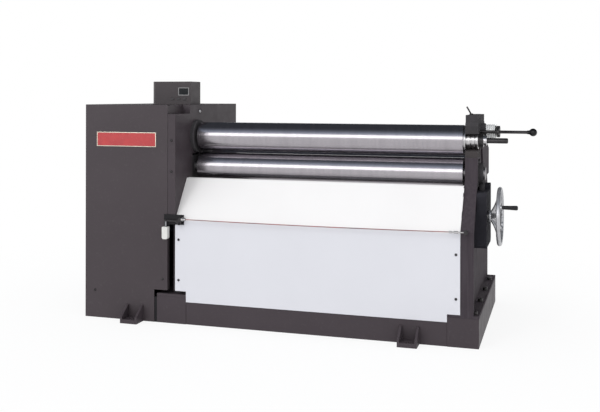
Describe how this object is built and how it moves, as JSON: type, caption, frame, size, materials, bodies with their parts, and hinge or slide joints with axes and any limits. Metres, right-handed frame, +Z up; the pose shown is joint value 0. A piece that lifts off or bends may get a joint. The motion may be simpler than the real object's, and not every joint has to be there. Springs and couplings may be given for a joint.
{
  "type": "slip roll machine",
  "caption": "Powered slip roll on a steel floor frame: driven upper and front rolls, sliding rear roll, drop-end cap, handwheel lift, motor cabinet and trip wire.",
  "frame": {"origin": "on the floor, at the centre of the rectangle of four anchor bolt holes in the feet", "axes": "+X along the rolls from the motor cabinet to the handwheel end, +Y from the operator to the back, +Z up"},
  "size_m": [2.0815, 1.037, 1.128],
  "materials": {
    "charcoal_paint": "satin, dark warm grey enamel",
    "black_paint": "satin black enamel",
    "white_paint": "semi-gloss white enamel",
    "polished_steel": "ground and polished",
    "machined_steel": "turned",
    "bright_chrome": "bright",
    "blackened_steel": "blackened, lightly oiled",
    "black_plastic": "matte",
    "ivory_plastic": "matte",
    "grey_plastic": "matte",
    "display_glass": "gloss",
    "red_badge": "printed plain red with a bare border",
    "red_wire": "plastic-coated wire rope",
    "cast_iron": "painted casting"
  },
  "bodies": {
    "machine_frame": {"base_front_beam": "charcoal_paint", "base_left_block": "charcoal_paint", "base_rear_beam": "charcoal_paint", "base_right_block": "charcoal_paint", "blank_badge": "red_badge", "cabinet_back_cover": "charcoal_paint", "cabinet_front_cover": "charcoal_paint", "cabinet_rails": "black_paint", "cabinet_side_cover": "charcoal_paint", "cabinet_top_cover": "charcoal_paint", "cap_hinge_pin": "blackened_steel", "control_box": "charcoal_paint", "control_display": "display_glass", "cover_screws": "blackened_steel", "feet": "charcoal_paint", "frame_bolts": "blackened_steel", "front_adjuster_left": "black_paint", "front_adjuster_right": "black_paint", "gearmotor": "cast_iron", "gearmotor_stand": "black_paint", "journal_saddle": "cast_iron", "left_end_frame": "charcoal_paint", "lower_front_cover": "white_paint", "rear_jack_left": "cast_iron", "rear_jack_right": "cast_iron", "rear_lift_motor": "cast_iron", "right_end_frame": "charcoal_paint", "trip_bracket": "black_paint", "trip_switch": "ivory_plastic", "trip_wire": "red_wire", "upper_front_cover": "white_paint", "upper_roll_bush": "cast_iron", "wire_anchor": "blackened_steel"},
    "upper_roll": {"upper_roll": "polished_steel", "lift_bar": "blackened_steel", "upper_roll_gear": "machined_steel", "bull_gear": "machined_steel"},
    "front_blocks": {"front_block_left": "cast_iron", "front_block_right": "cast_iron"},
    "front_roll": {"front_roll": "polished_steel", "front_roll_gear": "machined_steel"},
    "handwheel": {"handwheel": "bright_chrome", "cross_shaft": "machined_steel"},
    "crank_grip": {"crank_grip": "black_plastic"},
    "rear_blocks": {"rear_block_left": "cast_iron", "rear_block_right": "cast_iron"},
    "rear_roll": {"rear_roll": "polished_steel"},
    "rear_lift_shaft": {"rear_lift_shaft": "machined_steel"},
    "drive_pinion": {"drive_pinion": "machined_steel"},
    "journal_cap": {"journal_cap": "black_paint", "cap_pull_pin": "machined_steel", "release_spring": "bright_chrome"},
    "release_rod": {"release_rod": "blackened_steel", "release_ball": "black_plastic"},
    "trip_rocker": {"trip_rocker": "blackened_steel", "wire_tensioner": "machined_steel"},
    "trip_plunger": {"trip_plunger": "machined_steel"},
    "control_key_1": {"control_key_1": "grey_plastic"},
    "control_key_2": {"control_key_2": "grey_plastic"},
    "control_key_3": {"control_key_3": "grey_plastic"}
  },
  "joints": [
    {"name": "upper_roll_spin", "type": "hinge", "parent": "machine_frame", "child": "upper_roll", "pos_m": [0, -0.2035, 0.8605], "axis": [1, 0, 0], "continuous": true},
    {"name": "drive_pinion_spin", "type": "hinge", "parent": "machine_frame", "child": "drive_pinion", "pos_m": [0, -0.09319, 0.75019], "axis": [1, 0, 0], "continuous": true},
    {"name": "front_roll_lift", "type": "slide", "parent": "machine_frame", "child": "front_blocks", "axis": [0, 0, 1], "range_m": [-0.0085, 0.0085]},
    {"name": "front_roll_spin", "type": "hinge", "parent": "front_blocks", "child": "front_roll", "pos_m": [0, -0.2035, 0.714], "axis": [1, 0, 0], "continuous": true},
    {"name": "handwheel_spin", "type": "hinge", "parent": "machine_frame", "child": "handwheel", "pos_m": [0, -0.2685, 0.535], "axis": [1, 0, 0], "range_deg": [-765, 765]},
    {"name": "crank_grip_spin", "type": "hinge", "parent": "handwheel", "child": "crank_grip", "pos_m": [0, -0.36918, 0.5863], "axis": [1, 0, 0], "continuous": true},
    {"name": "rear_roll_lift", "type": "slide", "parent": "machine_frame", "child": "rear_blocks", "axis": [0, -0.5, 0.866], "range_m": [0, 0.06]},
    {"name": "rear_roll_spin", "type": "hinge", "parent": "rear_blocks", "child": "rear_roll", "pos_m": [0, -0.0435, 0.725], "axis": [1, 0, 0], "continuous": true},
    {"name": "rear_lift_shaft_spin", "type": "hinge", "parent": "machine_frame", "child": "rear_lift_shaft", "pos_m": [0, 0.07248, 0.58412], "axis": [1, 0, 0], "range_deg": [0, 5400]},
    {"name": "cap_swing", "type": "hinge", "parent": "machine_frame", "child": "journal_cap", "pos_m": [0, 0.0395, 0.922], "axis": [-1, 0, 0], "range_deg": [0, 95]},
    {"name": "release_rod_push", "type": "slide", "parent": "journal_cap", "child": "release_rod", "axis": [-1, 0, 0], "range_m": [0, 0.018], "stiffness_N_per_m": 2000, "springref_m": -0.01, "deforming": ["release_spring"]},
    {"name": "trip_rocker_swing", "type": "hinge", "parent": "machine_frame", "child": "trip_rocker", "pos_m": [-0.418, -0.4635, 0.468], "axis": [0, 1, 0], "range_deg": [0, 1.5], "stiffness_Nm_per_rad": 30},
    {"name": "trip_plunger_slide", "type": "slide", "parent": "machine_frame", "child": "trip_plunger", "axis": [0, 0, 1], "range_m": [0, 0.00173]},
    {"name": "control_key_1_press", "type": "slide", "parent": "machine_frame", "child": "control_key_1", "axis": [0, 1, 0], "range_m": [0, 0.0015], "stiffness_N_per_m": 400},
    {"name": "control_key_2_press", "type": "slide", "parent": "machine_frame", "child": "control_key_2", "axis": [0, 1, 0], "range_m": [0, 0.0015], "stiffness_N_per_m": 400},
    {"name": "control_key_3_press", "type": "slide", "parent": "machine_frame", "child": "control_key_3", "axis": [0, 1, 0], "range_m": [0, 0.0015], "stiffness_N_per_m": 400}
  ],
  "couplings": [
    {"joint": "front_roll_spin", "follows": "upper_roll_spin", "ratio": -1},
    {"joint": "drive_pinion_spin", "follows": "upper_roll_spin", "ratio": -3.3333},
    {"joint": "handwheel_spin", "follows": "front_roll_lift", "rad_per_m": 1570.8},
    {"joint": "rear_lift_shaft_spin", "follows": "rear_roll_lift", "rad_per_m": 1570.8},
    {"joint": "trip_plunger_slide", "follows": "trip_rocker_swing", "m_per_rad": 0.066}
  ]
}
